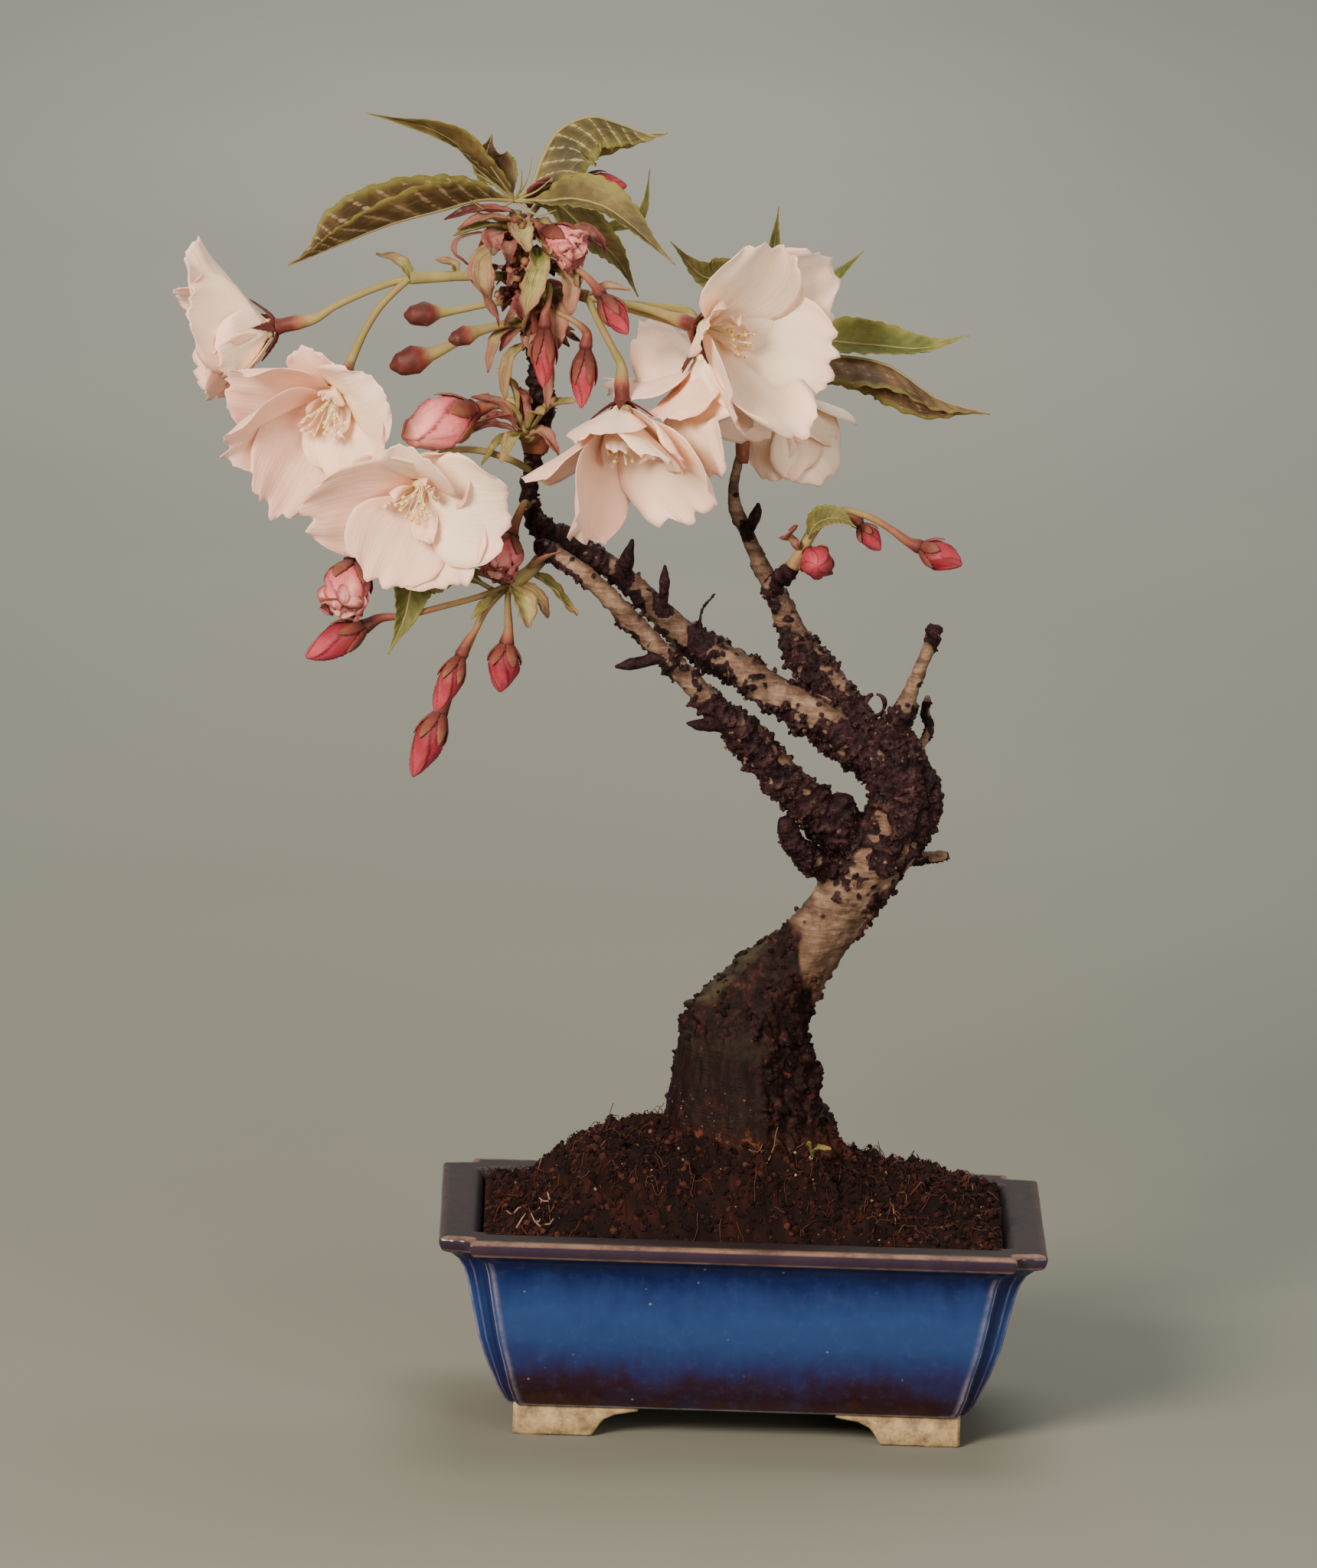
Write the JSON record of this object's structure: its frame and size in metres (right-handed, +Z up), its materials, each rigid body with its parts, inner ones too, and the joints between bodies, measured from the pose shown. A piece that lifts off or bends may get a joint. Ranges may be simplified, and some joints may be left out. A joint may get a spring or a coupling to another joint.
{
  "type": "cherry blossom bonsai",
  "caption": "Flowering cherry bonsai: a leaning trunk with warty branches, ruffled blossoms, buds and toothed leaves, standing in soil in a glazed rectangular pot.",
  "frame": {"origin": "middle of the bottom of the part's own bounding box, on the surface that the pot's feet stand on", "axes": "+Z up the tree, +X along the pot's long side towards the viewer's right, -Y towards the viewer of the tree's front"},
  "size_m": [0.1774, 0.076, 0.2595],
  "materials": {
    "glaze": "glossy mottled blue glaze with brown edges",
    "screen": "matt black mesh",
    "soil": "matt crumbly soil",
    "bark": "rough warty bark",
    "petal": "soft pale pink",
    "stamen": "cream and yellow",
    "stalk": "green and red-brown young growth",
    "bract": "pinkish brown scales",
    "leaf": "bronze green, slightly glossy",
    "bud": "coral red, satin",
    "pale_bud": "pink, satin"
  },
  "bodies": {
    "root": {"pot": "glaze", "drain_screen_left": "screen", "drain_screen_right": "screen", "soil": "soil", "trunk": "bark", "bloom_far_left_petals": "petal", "bloom_far_left_stamens": "stamen", "bloom_left_petals": "petal", "bloom_left_stamens": "stamen", "bloom_front_left_petals": "petal", "bloom_front_left_stamens": "stamen", "bloom_front_right_petals": "petal", "bloom_front_right_stamens": "stamen", "bloom_big_right_petals": "petal", "bloom_big_right_stamens": "stamen", "bloom_middle_right_petals": "petal", "bloom_middle_right_stamens": "stamen", "bloom_back_right_petals": "petal", "bloom_back_right_stamens": "stamen", "bud_half_open": "pale_bud", "bud_crumpled_left": "pale_bud", "bud_crumpled_middle": "pale_bud", "bud_low_left": "bud", "bud_hanging_upper": "bud", "bud_hanging_lower": "bud", "bud_hanging_right": "bud", "bud_sprig_round": "bud", "bud_sprig_small": "bud", "bud_sprig_end": "bud", "bud_crown_right": "bud", "bud_crown_middle": "bud", "bud_crown_low": "bud", "bud_crown_top": "bud", "bud_crown_front": "pale_bud", "crown_shoot": "bract", "crown_leaves": "leaf", "left_spray_stalks": "stalk", "middle_rosette": "bract", "middle_bloom_stalk": "stalk", "middle_bud_stalk": "stalk", "right_spray_stalks": "stalk", "low_spray": "stalk", "sprig_stalk": "stalk", "right_leaf_shoot": "leaf"}
  },
  "joints": []
}
